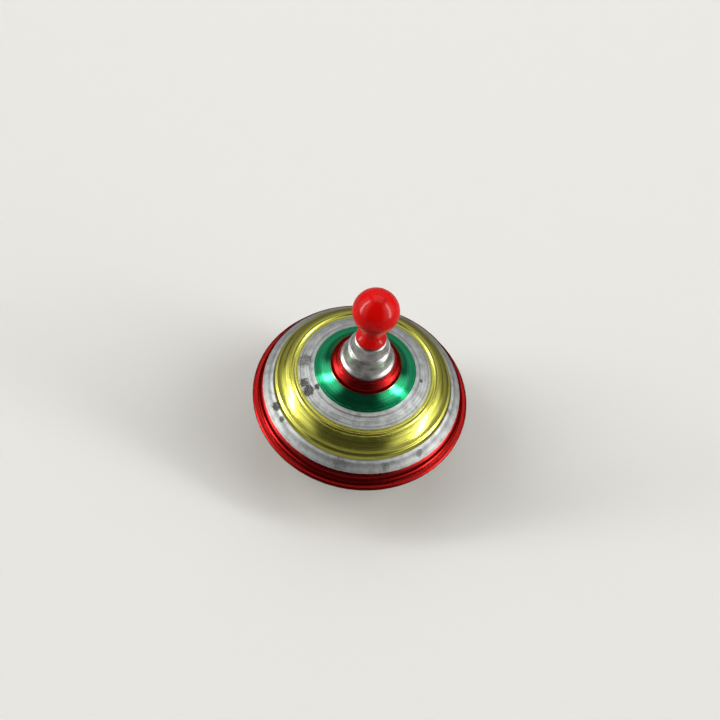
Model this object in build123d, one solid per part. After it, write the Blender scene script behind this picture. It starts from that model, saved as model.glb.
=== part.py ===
from build123d import *
from math import acos, hypot, radians, sin, tan
import os

# A pump-action humming top. A knob on a twisted strip is pushed down through a slotted nut in the
# collar, and the nut, pressed on its clutch, spins the tinplate body round it.
# Millimetres. The origin is the point that the top spins on, and +Z runs up the spin axis.

# Driving dimensions: body
RIM_RADIUS = 60.0  # over the rolled seam
RIM_HEIGHT = 36.0  # from the spinning point up to the middle of the seam
DOME_HEIGHT = 39.3  # from the middle of the seam up to the collar's seat
BOWL_DEPTH = 29.0  # from the middle of the seam down to the flat of the hub
SHEET = 0.35  # tinplate of both shells
CURL_RADIUS = 1.25  # outside of the rolled seam
CURL_INSET = 0.4  # bend where each shell turns out into the seam

# Driving dimensions: collar
COLLAR_RADIUS = 14.9
COLLAR_HEIGHT = 10.7  # lower tier, from the seat to the ledge
FLARE_STEP = 1.6  # from the foot's edge in to the foot of the wall
COLLAR_TOP_RADIUS = 11.6
CONE_HEIGHT = 8.9  # upper tier, from the ledge to its top
CONE_INSET = 0.1  # the upper tier's foot, in from the edge of the ledge
CONE_FOOT_RADIUS = COLLAR_TOP_RADIUS - CONE_INSET
CONE_TOP_RADIUS = 8.7
COLLAR_SHEET = 0.4
ROD_HOLE_RADIUS = 4.0
TAB_WIDTH = 5.0
TAB_LENGTH = 2.6
TAB_COUNT = 4

# Driving dimensions: clutch
CLUTCH_CUP_SHEET = 0.8
CUP_CLEARANCE = 0.7  # inside the foot of the collar's wall
CLUTCH_RING_THICKNESS = 1.2
CLUTCH_RING_MARGIN = 0.3  # out past the washer
WASHER_THICKNESS = 1.4
WASHER_CLEARANCE = 1.8  # inside the collar's waist
WASHER_RADIUS = COLLAR_TOP_RADIUS - COLLAR_SHEET - WASHER_CLEARANCE
NUT_THICKNESS = 1.2
NUT_INSET = 0.6  # in from the washer's edge
NUT_RADIUS = WASHER_RADIUS - NUT_INSET
HUB_WALL = 1.5
HUB_LIP = 0.5
CLUTCH_LIFT = 0.8  # how far the nut rises off the clutch

# Driving dimensions: rod, bush and tube
STRIP_WIDTH = 6.0
STRIP_THICKNESS = 1.2
LEAD = 40.0  # rise in one whole turn of the twist
STROKE = 55.0
BUSH_LENGTH = 8.0
TONGUE_WIDTH = 3.0
STOP_WASHER_RADIUS = 3.6
STOP_WASHER_THICKNESS = 1.0
TUBE_BORE_RADIUS = 5.6
TUBE_WALL = 0.4
TUBE_LIP = 0.6
TUBE_FOOT = 2.0

# Driving dimensions: knob
KNOB_RADIUS = 12.6
KNOB_HEIGHT = 37.8
SKIRT_RADIUS = 8.4
NECK_RADIUS = 5.8
ROD_DEPTH_IN_KNOB = 14.0

# Driving dimensions: hub and tip
HUB_RADIUS = 10.0
HUB_PLATE_THICKNESS = 1.0
TIP_RADIUS = 2.0
TIP_SHANK_RADIUS = 1.6
TIP_CONE_HEIGHT = 2.5
TIP_CONE_RADIUS = 8.4
TIP_HEAD_RADIUS = 3.6
TIP_HEAD_HEIGHT = 1.2

# Driving dimensions: reeds
REED_COUNT = 4
REED_PLATE_THICKNESS = 1.0
REED_PLATE_INNER_RADIUS = 24.5
REED_PLATE_OUTER_RADIUS = 39.5
FLAT_INNER_MARGIN = 2.0  # of the bowl's flat, inside the reed plate
FLAT_OUTER_MARGIN = 1.8
REED_LENGTH = 11.5
REED_WIDTH = 2.6
REED_THICKNESS = 0.25
REED_SLOT_CLEARANCE = 0.2
REED_RIVET_RADIUS = 0.8
PLATE_RIVET_RADIUS = 1.2
RIVET_HEAD_HEIGHT = 0.7
SOUND_HOLE_MARGIN = 1.3  # shell window beyond the reed, all round

# Named clearances
RUNNING = 0.05  # nut in washer, and faces that turn on each other
BUSH_RUNNING = 0.08  # bush in tube, tongue in bush, strip in slot
STOP_GAP = 0.3  # between faces that meet only at the end of a travel

# The shells' outlines are drawn for these sizes and stretched to the ones above.
GROOVE_INSET = 2.9  # from the rim in to the upper shell's groove
BOWL_INSET = 3.0  # from the rim in to the lower shell's upright edge
DRAWN_SPAN = 42.2  # from the collar's radius out to the groove
DRAWN_SEAM = 1.25  # height of the groove, level with the top of the seam
DRAWN_RISE = 38.05  # from there up to the seat
DRAWN_DEPTH = 29.0
DRAWN_FLAT = 21.0  # depth of the bowl's flat, where the reeds are
DRAWN_HUB_SPAN = 12.5  # from the hub's radius out to the flat
DRAWN_WALL_SPAN = 15.7  # from the flat out to the upright edge


def fitted(corners):
    """The corners with each bend no larger than the straight runs beside it allow."""
    half_turns = [0.0]
    for before, corner, after in zip(corners, corners[1:], corners[2:]):
        back = Vector(before[0] - corner[0], 0, before[1] - corner[1])
        onward = Vector(after[0] - corner[0], 0, after[1] - corner[1])
        half_angle = acos(max(-1.0, min(1.0, back.normalized().dot(onward.normalized())))) / 2
        half_turns.append(1 / tan(half_angle))
    half_turns.append(0.0)
    setbacks = [corner[2] * half_turn for corner, half_turn in zip(corners, half_turns)]
    shares = [1.0] * len(corners)
    for i, (start, end) in enumerate(zip(corners, corners[1:])):
        run = hypot(end[0] - start[0], end[1] - start[1])
        if setbacks[i] + setbacks[i + 1] > run + 1e-6:
            share = run / (setbacks[i] + setbacks[i + 1])
            shares[i] = min(shares[i], share)
            shares[i + 1] = min(shares[i + 1], share)
    return [(r, z, bend * share) for (r, z, bend), share in zip(corners, shares)]


def rounded_path(corners):
    """Lines and tangent arcs through corners (r, z, bend radius) in the XZ plane."""
    points = [Vector(r, 0, z) for r, z, _ in corners]
    edges = []
    start = points[0]
    for before, corner, after, (_, _, bend) in zip(points, points[1:], points[2:], corners[1:]):
        back = (before - corner).normalized()
        onward = (after - corner).normalized()
        half_angle = acos(max(-1.0, min(1.0, back.dot(onward)))) / 2
        setback = bend / tan(half_angle)
        bend_start = corner + back * setback
        bend_end = corner + onward * setback
        if (bend_start - start).length > 1e-6:
            edges.append(Line(start, bend_start))
        if bend > 0:
            middle = corner + (back + onward).normalized() * (bend / sin(half_angle) - bend)
            edges.append(ThreePointArc(bend_start, middle, bend_end))
        start = bend_end
    if (points[-1] - start).length > 1e-6:
        edges.append(Line(start, points[-1]))
    return edges


def offset_corners(corners, distance):
    """The same path moved to its left by a distance, with its bends kept concentric."""
    moved = []
    for i, (r, z, bend) in enumerate(corners):
        before = corners[max(i - 1, 0)]
        after = corners[min(i + 1, len(corners) - 1)]
        arriving = (r - before[0], z - before[1])
        leaving = (after[0] - r, after[1] - z)
        if i == 0:
            arriving = leaving
        if i == len(corners) - 1:
            leaving = arriving
        a, b = hypot(*arriving), hypot(*leaving)
        left_a = (-arriving[1] / a, arriving[0] / a)
        left_b = (-leaving[1] / b, leaving[0] / b)
        turn = (arriving[0] * leaving[1] - arriving[1] * leaving[0]) / (a * b)
        spread = 1 + left_a[0] * left_b[0] + left_a[1] * left_b[1]
        new_bend = 0.0
        if bend > 0:
            new_bend = max(0.0, bend - distance) if turn > 0 else bend + distance
        moved.append(
            (
                r + distance * (left_a[0] + left_b[0]) / spread,
                z + distance * (left_a[1] + left_b[1]) / spread,
                new_bend,
            )
        )
    return moved


def turned(corners):
    """Solid of revolution whose section is the path through the corners, closed by a line."""
    corners = fitted(corners)
    first, last = corners[0], corners[-1]
    edges = rounded_path(corners)
    edges.append(Line((last[0], 0, last[1]), (first[0], 0, first[1])))
    return revolve(Face(Wire(edges)), Axis.Z)


def pressed(corners, thickness):
    """Pressed sheet turned about the axis, lying to the left of its visible side's path."""
    corners = fitted(corners)
    near = rounded_path(corners)
    far_corners = offset_corners(corners, thickness)
    far = rounded_path(far_corners)
    ends = [
        Line((corners[i][0], 0, corners[i][1]), (far_corners[i][0], 0, far_corners[i][1]))
        for i in (0, -1)
    ]
    return revolve(Face(Wire(near + far + ends)), Axis.Z)


def ring(inner_radius, outer_radius, bottom, height):
    """Flat ring, or a disc where the inner radius is 0."""
    disc = Pos(0, 0, bottom + height / 2) * Cylinder(outer_radius, height)
    if inner_radius > 0:
        disc -= Pos(0, 0, bottom + height / 2) * Cylinder(inner_radius, 2 * height)
    return disc


def around(piece, count, first_angle=0.0):
    """The piece repeated about the axis."""
    return [Rot(0, 0, first_angle + 360 * i / count) * piece for i in range(count)]


# Heights worked out from the driving dimensions
SEAT = RIM_HEIGHT + DOME_HEIGHT
LEDGE = SEAT + COLLAR_HEIGHT
CONE_TOP = LEDGE + CONE_HEIGHT
HUB_FLAT = RIM_HEIGHT - BOWL_DEPTH

# The clutch hangs from the underside of the lower tier's top.
NUT_TOP = LEDGE - COLLAR_SHEET - STOP_GAP - CLUTCH_LIFT
NUT_BOTTOM = NUT_TOP - NUT_THICKNESS
WASHER_BOTTOM = NUT_BOTTOM - RUNNING - WASHER_THICKNESS
CLUTCH_RING_BOTTOM = WASHER_BOTTOM - RUNNING - CLUTCH_RING_THICKNESS
HUB_LIP_TOP = WASHER_BOTTOM - RUNNING
HUB_LIP_BOTTOM = HUB_LIP_TOP - HUB_LIP

STRIP_CORNER_RADIUS = hypot(STRIP_WIDTH, STRIP_THICKNESS) / 2
HUB_BORE_RADIUS = STRIP_CORNER_RADIUS + STOP_GAP
HUB_OUTER_RADIUS = HUB_BORE_RADIUS + HUB_WALL

TUBE_OUTER_RADIUS = TUBE_BORE_RADIUS + TUBE_WALL
TUBE_TOP = CLUTCH_RING_BOTTOM + TUBE_WALL
CLUTCH_RING_INNER_RADIUS = TUBE_OUTER_RADIUS + TUBE_LIP + STOP_GAP
CLUTCH_RING_WIDTH = WASHER_RADIUS + CLUTCH_RING_MARGIN - CLUTCH_RING_INNER_RADIUS
HUB_PLATE_TOP = HUB_FLAT + SHEET + HUB_PLATE_THICKNESS

BUSH_TOP = TUBE_TOP - STROKE
BUSH_BOTTOM = BUSH_TOP - BUSH_LENGTH
TONGUE_CORNER_RADIUS = hypot(TONGUE_WIDTH, STRIP_THICKNESS) / 2

KNOB_BOTTOM = CONE_TOP + STOP_GAP
ROD_TOP = KNOB_BOTTOM + ROD_DEPTH_IN_KNOB
ROD_SHOULDER = BUSH_TOP + RUNNING

REED_PLATE_BOTTOM = RIM_HEIGHT - DRAWN_FLAT * BOWL_DEPTH / DRAWN_DEPTH + SHEET
REED_PLATE_TOP = REED_PLATE_BOTTOM + REED_PLATE_THICKNESS
REED_PLATE_MIDDLE = (REED_PLATE_INNER_RADIUS + REED_PLATE_OUTER_RADIUS) / 2


def dome_corners():
    """Outside of the upper shell, from the curl's free edge up to the hole under the collar."""
    across = (RIM_RADIUS - GROOVE_INSET - COLLAR_RADIUS) / DRAWN_SPAN
    up = (DOME_HEIGHT - CURL_RADIUS) / DRAWN_RISE
    seam_top = RIM_HEIGHT + CURL_RADIUS
    curl_foot = RIM_RADIUS - 1.7 * CURL_RADIUS
    curl = [
        (curl_foot, RIM_HEIGHT - CURL_RADIUS, 0),
        (RIM_RADIUS, RIM_HEIGHT - CURL_RADIUS, CURL_RADIUS),
        (RIM_RADIUS, seam_top, CURL_RADIUS),
    ]
    drawn = [
        (42.2, 1.25, CURL_INSET),  # groove inside the seam
        (42.4, 3.0, 0.9),  # narrow bead at the foot of the red band
        (41.35, 4.1, 0.4),
        (41.75, 6.3, 3.2),  # round bead of the red band
        (40.9, 8.2, 2.4),
        (39.65, 8.9, 0.4),
        (35.8, 13.0, 2.0),  # outer silver slope
        (34.5, 13.9, 1.1),
        (33.8, 16.9, 0.8),  # bead at the foot of the yellow band
        (32.5, 17.4, 0.4),
        (31.2, 20.1, 9.0),  # wide yellow torus
        (27.6, 23.8, 6.0),
        (25.4, 24.2, 0.4),
        (24.7, 25.2, 0.6),  # narrow yellow bead
        (23.4, 24.4, 0.5),
        (21.3, 25.0, 3.0),
        (13.2, 28.5, 3.0),  # inner silver slope into the hollow green band
        (8.3, 29.9, 9.0),
        (4.3, 33.3, 0.45),
        (4.0, 36.4, 2.2),  # red ring
        (1.9, 37.8, 0.4),
        (1.3, 38.7, 0.4),
        (0.6, 38.7, 0.35),
        (0.5, 39.3, 0.35),
    ]
    dome = [
        (COLLAR_RADIUS + r * across, seam_top + (z - DRAWN_SEAM) * up, bend) for r, z, bend in drawn
    ]
    return curl + dome + [(clutch_cup_radius() - 2.0, SEAT, 0)]


def bowl_corners():
    """Underside of the lower shell, from the tip's hole out to the edge rolled into the seam."""
    up = BOWL_DEPTH / DRAWN_DEPTH
    flat_inner = REED_PLATE_INNER_RADIUS - FLAT_INNER_MARGIN
    flat_outer = REED_PLATE_OUTER_RADIUS + FLAT_OUTER_MARGIN
    hub_stretch = (flat_inner - HUB_RADIUS) / DRAWN_HUB_SPAN
    wall_stretch = (RIM_RADIUS - BOWL_INSET - flat_outer) / DRAWN_WALL_SPAN
    hub = [(0.0, -DRAWN_DEPTH, 1.2), (2.6, -24.4, 1.4), (12.5, -DRAWN_FLAT, 1.5)]
    wall = [
        (0.0, -DRAWN_FLAT, 2.4),
        (4.7, -15.6, 1.8),
        (7.1, -14.4, 1.4),
        (11.9, -7.6, 2.0),
        (13.9, -6.4, 1.0),
        (15.7, -2.4, 0.8),
    ]
    bowl = [(HUB_RADIUS + r * hub_stretch, RIM_HEIGHT + z * up, bend) for r, z, bend in hub]
    bowl += [(flat_outer + r * wall_stretch, RIM_HEIGHT + z * up, bend) for r, z, bend in wall]
    roll = CURL_RADIUS - 2 * SHEET
    curl_centre = RIM_RADIUS - CURL_RADIUS
    edge = [
        (RIM_RADIUS - BOWL_INSET, RIM_HEIGHT + roll, CURL_INSET),
        (curl_centre + roll, RIM_HEIGHT + roll, roll),
        (curl_centre + roll, RIM_HEIGHT - roll, roll),
        (curl_centre - roll, RIM_HEIGHT - roll, 0),
    ]
    return [(TIP_SHANK_RADIUS, HUB_FLAT, 0)] + bowl + edge


def clutch_cup_radius():
    """Outside of the clutch cup, clear of the lower tier's foot and of its waist."""
    return min(COLLAR_RADIUS - FLARE_STEP - COLLAR_SHEET - CUP_CLEARANCE, COLLAR_TOP_RADIUS + 0.6)


def tab_stem(clearance=0.0):
    """The upright part of a collar tab, or with a clearance the slot that it passes through."""
    width = TAB_WIDTH + 2 * clearance
    sheet = COLLAR_SHEET + 2 * clearance
    height = SHEET + 2 * COLLAR_SHEET
    return Pos(COLLAR_RADIUS - COLLAR_SHEET, 0, SEAT - SHEET / 2) * Box(sheet, width, height)


def upper_shell():
    """Domed tinplate shell, with its edge rolled round the lower shell's."""
    shell = pressed(dome_corners(), SHEET)
    for slot in around(tab_stem(BUSH_RUNNING), TAB_COUNT):
        shell -= slot
    return shell


def sound_hole():
    """Window in the lower shell under one reed and its rivet."""
    length = REED_LENGTH + 2 * SOUND_HOLE_MARGIN
    width = REED_WIDTH + 2 * SOUND_HOLE_MARGIN
    window = extrude(Plane.XY * SlotOverall(length, width), 4 * SHEET, both=True)
    return Pos(REED_PLATE_MIDDLE, 0, REED_PLATE_BOTTOM) * window


def lower_shell():
    """Stepped tinplate bowl with the sound holes and the rivet holes of the reed plate."""
    shell = pressed(bowl_corners(), SHEET)
    for hole in around(sound_hole(), REED_COUNT):
        shell -= hole
    for hole in around(plate_rivet_shank(), REED_COUNT, 180 / REED_COUNT):
        shell -= hole
    return shell


def collar_base():
    """Lower tier of the collar: flared foot, hollow wall and flat top, with its tabs."""
    corners = [
        (COLLAR_RADIUS, SEAT, 0),
        (COLLAR_RADIUS, SEAT + 1.9, 0.9),
        (COLLAR_RADIUS - FLARE_STEP, SEAT + 2.8, 0.6),
        (COLLAR_TOP_RADIUS + 0.5, SEAT + 0.55 * COLLAR_HEIGHT, 6.0),
        (COLLAR_TOP_RADIUS, LEDGE, 0.7),
        (ROD_HOLE_RADIUS, LEDGE, 0),
    ]
    collar = pressed(corners, COLLAR_SHEET)
    fold_radius = COLLAR_RADIUS - COLLAR_SHEET - TAB_LENGTH / 2
    fold = Pos(fold_radius, 0, SEAT - SHEET - COLLAR_SHEET / 2) * Box(
        TAB_LENGTH, TAB_WIDTH, COLLAR_SHEET
    )
    for tab in around(tab_stem() + fold, TAB_COUNT):
        collar += tab
    return collar


def collar_cone():
    """Upper tier of the collar, crimped to the lower tier's top."""
    corners = [
        (CONE_FOOT_RADIUS, LEDGE, 0),
        (CONE_FOOT_RADIUS + 0.1, LEDGE + 1.3, 0.6),
        (CONE_FOOT_RADIUS - 1.1, LEDGE + 1.5, 0.5),
        (CONE_TOP_RADIUS, CONE_TOP, 0.9),
        (ROD_HOLE_RADIUS, CONE_TOP, 0),
    ]
    return pressed(corners, COLLAR_SHEET)


def clutch_cup():
    """Pressed cup that stands on the seat inside the collar and carries the clutch ring."""
    corners = [
        (clutch_cup_radius(), SEAT, 0),
        (clutch_cup_radius(), CLUTCH_RING_BOTTOM, 1.2),
        (TUBE_OUTER_RADIUS, CLUTCH_RING_BOTTOM, 0),
    ]
    return pressed(corners, CLUTCH_CUP_SHEET)


def clutch_ring():
    """Fibre ring fixed on the cup, which the washer presses on."""
    inner = CLUTCH_RING_INNER_RADIUS
    return ring(inner, inner + CLUTCH_RING_WIDTH, CLUTCH_RING_BOTTOM, CLUTCH_RING_THICKNESS)


def friction_washer():
    """Leather washer held captive on the nut's hub."""
    return ring(HUB_OUTER_RADIUS + RUNNING, WASHER_RADIUS, WASHER_BOTTOM, WASHER_THICKNESS)


def drive_nut():
    """Disc with the slot that the strip threads, and a hub swaged under the washer."""
    disc = ring(0, NUT_RADIUS, NUT_BOTTOM, NUT_THICKNESS)
    hub = ring(HUB_BORE_RADIUS, HUB_OUTER_RADIUS, HUB_LIP_BOTTOM, NUT_BOTTOM - HUB_LIP_BOTTOM)
    lip = ring(HUB_BORE_RADIUS, HUB_OUTER_RADIUS + HUB_LIP, HUB_LIP_BOTTOM, HUB_LIP)
    twist = radians(180 * NUT_THICKNESS / LEAD)
    slot_width = STRIP_WIDTH + 2 * BUSH_RUNNING
    slot_thickness = STRIP_THICKNESS + 2 * BUSH_RUNNING + STRIP_WIDTH * tan(twist)
    slot = Pos(0, 0, NUT_BOTTOM) * Box(slot_width, slot_thickness, 4 * NUT_THICKNESS)
    return disc + hub + lip - slot


def spiral_rod():
    """Twisted strip from the knob down through the nut, with a flat tongue in the bush."""
    length = ROD_TOP - ROD_SHOULDER
    nut_middle = NUT_BOTTOM + NUT_THICKNESS / 2
    start_angle = -360 * (nut_middle - ROD_SHOULDER) / LEAD
    section = Face.make_rect(STRIP_WIDTH, STRIP_THICKNESS)
    twisted = Solid.extrude_linear_with_rotation(
        section, (0, 0, 0), (0, 0, length), 360 * length / LEAD
    )
    tongue_length = BUSH_LENGTH + 2 * RUNNING + STOP_WASHER_THICKNESS + 2 * STOP_GAP
    tongue = Pos(0, 0, -tongue_length / 2) * Box(TONGUE_WIDTH, STRIP_THICKNESS, tongue_length)
    return Pos(0, 0, ROD_SHOULDER) * Rot(0, 0, start_angle) * (Part() + twisted + tongue)


def stop_washer():
    """Washer peened on the tongue, which keeps the bush on the rod."""
    top = BUSH_BOTTOM - RUNNING
    washer = ring(0, STOP_WASHER_RADIUS, top - STOP_WASHER_THICKNESS, STOP_WASHER_THICKNESS)
    nut_middle = NUT_BOTTOM + NUT_THICKNESS / 2
    start_angle = -360 * (nut_middle - ROD_SHOULDER) / LEAD
    hole = Rot(0, 0, start_angle) * Box(TONGUE_WIDTH, STRIP_THICKNESS, 4 * top)
    return washer - hole


def guide_bush():
    """Bush that slides in the tube and centres the foot of the rod."""
    bore = TONGUE_CORNER_RADIUS + BUSH_RUNNING
    outer = TUBE_BORE_RADIUS - BUSH_RUNNING
    bush = ring(bore, outer, BUSH_BOTTOM, BUSH_LENGTH)
    outer_edges = bush.edges().filter_by(GeomType.CIRCLE).sort_by(SortBy.RADIUS)[-2:]
    return chamfer(outer_edges, 0.6)


def knob():
    """Turned wooden knob: a ball on a waisted neck with a flared skirt."""
    bore = STRIP_CORNER_RADIUS
    ball_centre = KNOB_BOTTOM + KNOB_HEIGHT - KNOB_RADIUS
    ball = Pos(0, 0, ball_centre) * Sphere(KNOB_RADIUS)
    neck_height = ball_centre - KNOB_BOTTOM
    stem = turned(
        [
            (0, KNOB_BOTTOM, 0),
            (SKIRT_RADIUS, KNOB_BOTTOM, 0.8),
            (SKIRT_RADIUS - 0.3, KNOB_BOTTOM + 0.12 * neck_height, 1.6),
            (NECK_RADIUS, KNOB_BOTTOM + 0.24 * neck_height, 3.0),
            (NECK_RADIUS, KNOB_BOTTOM + 0.46 * neck_height, 4.0),
            (0.78 * KNOB_RADIUS, ball_centre - 0.62 * KNOB_RADIUS, 0),
            (0, ball_centre - 0.62 * KNOB_RADIUS, 0),
        ]
    )
    hole = ring(0, bore, KNOB_BOTTOM - STOP_GAP, ROD_DEPTH_IN_KNOB + STOP_GAP)
    return ball + stem - hole


def centre_tube():
    """Tube between the hub and the clutch cup, flared at the top and footed on the hub plate."""
    height = TUBE_TOP - HUB_PLATE_TOP
    tube = ring(TUBE_BORE_RADIUS, TUBE_OUTER_RADIUS, HUB_PLATE_TOP, height)
    lip = ring(
        TUBE_BORE_RADIUS, TUBE_OUTER_RADIUS + TUBE_LIP, TUBE_TOP - TUBE_WALL, TUBE_WALL
    )
    foot = ring(TUBE_BORE_RADIUS, TUBE_OUTER_RADIUS + TUBE_FOOT, HUB_PLATE_TOP, TUBE_WALL)
    return tube + lip + foot


def hub_plate():
    """Disc that stiffens the bowl's hub, under the tube's foot."""
    return ring(TIP_SHANK_RADIUS, HUB_RADIUS - 1.4, HUB_FLAT + SHEET, HUB_PLATE_THICKNESS)


def tip_cone():
    """Turned cone under the hub that backs the pin."""
    bottom = HUB_FLAT - TIP_CONE_HEIGHT
    return turned(
        [
            (TIP_SHANK_RADIUS, HUB_FLAT, 0),
            (TIP_SHANK_RADIUS, bottom, 0),
            (TIP_RADIUS + 1.6, bottom, 0.6),
            (TIP_CONE_RADIUS, HUB_FLAT - 0.7, 0.4),
            (TIP_CONE_RADIUS, HUB_FLAT, 0),
        ]
    )


def tip_pin():
    """Steel pin with a round end that the top spins on, riveted over the hub plate."""
    cone_bottom = HUB_FLAT - TIP_CONE_HEIGHT
    point = Pos(0, 0, TIP_RADIUS) * Sphere(TIP_RADIUS)
    pin = ring(0, TIP_RADIUS, TIP_RADIUS, cone_bottom - TIP_RADIUS)
    shank = ring(0, TIP_SHANK_RADIUS, cone_bottom, HUB_PLATE_TOP - cone_bottom)
    head = turned(
        [
            (0, HUB_PLATE_TOP, 0),
            (TIP_HEAD_RADIUS, HUB_PLATE_TOP, 0),
            (TIP_HEAD_RADIUS, HUB_PLATE_TOP + TIP_HEAD_HEIGHT, 0.9 * TIP_HEAD_HEIGHT),
            (0, HUB_PLATE_TOP + TIP_HEAD_HEIGHT, 0),
        ]
    )
    return point + pin + shank + head


def reed_slot():
    """Slot in the reed plate under a tongue's free part, centred on the reed."""
    length = 0.74 * REED_LENGTH
    width = REED_WIDTH + 2 * REED_SLOT_CLEARANCE
    shift = -(REED_LENGTH - length) / 2 - REED_SLOT_CLEARANCE
    box = Box(length, width, 4 * REED_PLATE_THICKNESS)
    return Pos(REED_PLATE_MIDDLE + shift, 0, REED_PLATE_TOP) * box


def reed_rivet_shank():
    """Shank of a reed's rivet, through the tongue's root and the plate."""
    radius = REED_PLATE_MIDDLE + REED_LENGTH / 2 - 1.5 * REED_RIVET_RADIUS
    length = REED_PLATE_THICKNESS + REED_THICKNESS
    return Pos(radius, 0, REED_PLATE_BOTTOM + length / 2) * Cylinder(REED_RIVET_RADIUS, length)


def reed_plate():
    """Brass ring with one slot for each reed, riveted inside the bowl over the sound holes."""
    plate = ring(
        REED_PLATE_INNER_RADIUS, REED_PLATE_OUTER_RADIUS, REED_PLATE_BOTTOM, REED_PLATE_THICKNESS
    )
    for cut in around(reed_slot(), REED_COUNT) + around(reed_rivet_shank(), REED_COUNT):
        plate -= cut
    for cut in around(plate_rivet_shank(), REED_COUNT, 180 / REED_COUNT):
        plate -= cut
    return plate


def reeds():
    """Spring tongues, one over each slot, fixed at their outer ends."""
    tongue = Pos(REED_PLATE_MIDDLE, 0, REED_PLATE_TOP + REED_THICKNESS / 2) * Box(
        REED_LENGTH, REED_WIDTH, REED_THICKNESS
    )
    return Compound(children=around(tongue - reed_rivet_shank(), REED_COUNT))


def reed_rivets():
    """Rivets of the reeds, headed above the tongue and below the plate."""
    shank = reed_rivet_shank()
    radius = REED_PLATE_MIDDLE + REED_LENGTH / 2 - 1.5 * REED_RIVET_RADIUS
    head_radius = 1.5 * REED_RIVET_RADIUS
    height = RIVET_HEAD_HEIGHT / 2
    upper = Pos(radius, 0, REED_PLATE_TOP + REED_THICKNESS + height / 2) * Cylinder(
        head_radius, height
    )
    lower = Pos(radius, 0, REED_PLATE_BOTTOM - height / 2) * Cylinder(head_radius, height)
    return Compound(children=around(shank + upper + lower, REED_COUNT))


def plate_rivet_shank():
    """Shank of a rivet through the bowl and the reed plate."""
    length = SHEET + REED_PLATE_THICKNESS
    middle = REED_PLATE_TOP - length / 2
    return Pos(REED_PLATE_MIDDLE, 0, middle) * Cylinder(PLATE_RIVET_RADIUS, length)


def plate_rivets():
    """Rivets that hold the reed plate, with round heads under the bowl."""
    head_radius = 1.8 * PLATE_RIVET_RADIUS
    head = turned(
        [
            (0, 0, 0),
            (0, -RIVET_HEAD_HEIGHT, 0),
            (head_radius, -RIVET_HEAD_HEIGHT, 0.6 * RIVET_HEAD_HEIGHT),
            (head_radius, 0, 0),
        ]
    )
    below = Pos(REED_PLATE_MIDDLE, 0, REED_PLATE_BOTTOM - SHEET) * head
    above = Pos(REED_PLATE_MIDDLE, 0, REED_PLATE_TOP) * Rot(180, 0, 0) * head
    rivet = plate_rivet_shank() + below + above
    return Compound(children=around(rivet, REED_COUNT, 180 / REED_COUNT))


PIECES = [
    upper_shell, lower_shell, collar_base, collar_cone, clutch_cup, clutch_ring, centre_tube,
    hub_plate, tip_cone, tip_pin, reed_plate, reeds, reed_rivets, plate_rivets,
    friction_washer, drive_nut, guide_bush, stop_washer, spiral_rod, knob,
]

os.makedirs("parts", exist_ok=True)
for piece in PIECES:
    export_step(piece(), f"parts/{piece.__name__}.step")
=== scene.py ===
"""Looks of a pump-action humming top: worn tinplate, a turned red knob and plain studio light.

Every size is in metres unless a name says otherwise, and every place is in the shared frame, whose
origin is the point that the top spins on, with +Z up the spin axis.
"""

import logging
import math
from dataclasses import dataclass
from enum import Enum

import bmesh
import bpy
from mathutils import Matrix, Vector

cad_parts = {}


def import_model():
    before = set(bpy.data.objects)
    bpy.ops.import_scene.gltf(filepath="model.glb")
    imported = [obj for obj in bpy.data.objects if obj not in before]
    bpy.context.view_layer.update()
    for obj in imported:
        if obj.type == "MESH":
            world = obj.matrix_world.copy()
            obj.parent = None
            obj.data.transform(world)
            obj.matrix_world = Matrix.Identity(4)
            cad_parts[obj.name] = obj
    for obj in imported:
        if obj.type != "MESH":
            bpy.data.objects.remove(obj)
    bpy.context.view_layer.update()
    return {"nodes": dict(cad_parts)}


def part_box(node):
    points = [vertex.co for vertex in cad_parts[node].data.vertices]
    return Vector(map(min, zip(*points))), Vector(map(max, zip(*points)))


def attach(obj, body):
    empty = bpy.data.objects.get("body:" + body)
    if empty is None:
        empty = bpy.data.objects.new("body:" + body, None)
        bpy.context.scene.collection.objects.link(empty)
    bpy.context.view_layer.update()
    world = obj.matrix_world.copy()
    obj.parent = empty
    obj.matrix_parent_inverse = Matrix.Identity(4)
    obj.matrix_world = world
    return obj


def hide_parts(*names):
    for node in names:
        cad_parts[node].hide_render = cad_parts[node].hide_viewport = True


LOG = logging.getLogger("humming_top")
MM = 0.001
Colour = tuple[float, float, float]

RIM_HEIGHT_MM = 36.0
MERGE_DISTANCE = 1e-6
ROUND_PROFILE = 0.5
ALMOST_HALF = 0.499
ALMOST_ALL = 0.999
MOST_OF_ARM = 0.98
# Painted shade: the near black that the grooves of the turning lines are darkened towards.
GROOVE_PAINTED_SHADE: Colour = (0.02, 0.02, 0.015)
GREY_CLOUD: Colour = (0.08, 0.08, 0.08)
WORN_STAIN: Colour = (0.14, 0.135, 0.13)
BLACK_SPOT: Colour = (0.045, 0.042, 0.039)
DULL_PIT: Colour = (0.06, 0.05, 0.045)
EDGE_TINT = (0.1, 0.04, 0.04, 1.0)


class Body(Enum):
    """The moving bodies that pieces ride on."""

    SPINNING = "spinning_body"
    PUMP_ROD = "pump_rod"


@dataclass(frozen=True)
class Coating:
    """How one band of the tin looks: its tint, the roughness of its reflections, the weight of
    the clear coat on it, and 1 where the tin is bare.
    """

    tint: Colour
    haze: float
    gloss: float
    bare: float = 0.0


class Lacquer(Enum):
    """The transparent lacquers over bright tinplate, and the tin that is left bare."""

    RED = Coating((0.34, 0.008, 0.008), haze=0.25, gloss=0.03)
    SILVER = Coating((0.50, 0.52, 0.515), haze=0.56, gloss=0.05, bare=1.0)
    YELLOW = Coating((0.67, 0.655, 0.10), haze=0.17, gloss=0.5)
    GREEN = Coating((0.006, 0.38, 0.15), haze=0.12, gloss=0.45)


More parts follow.
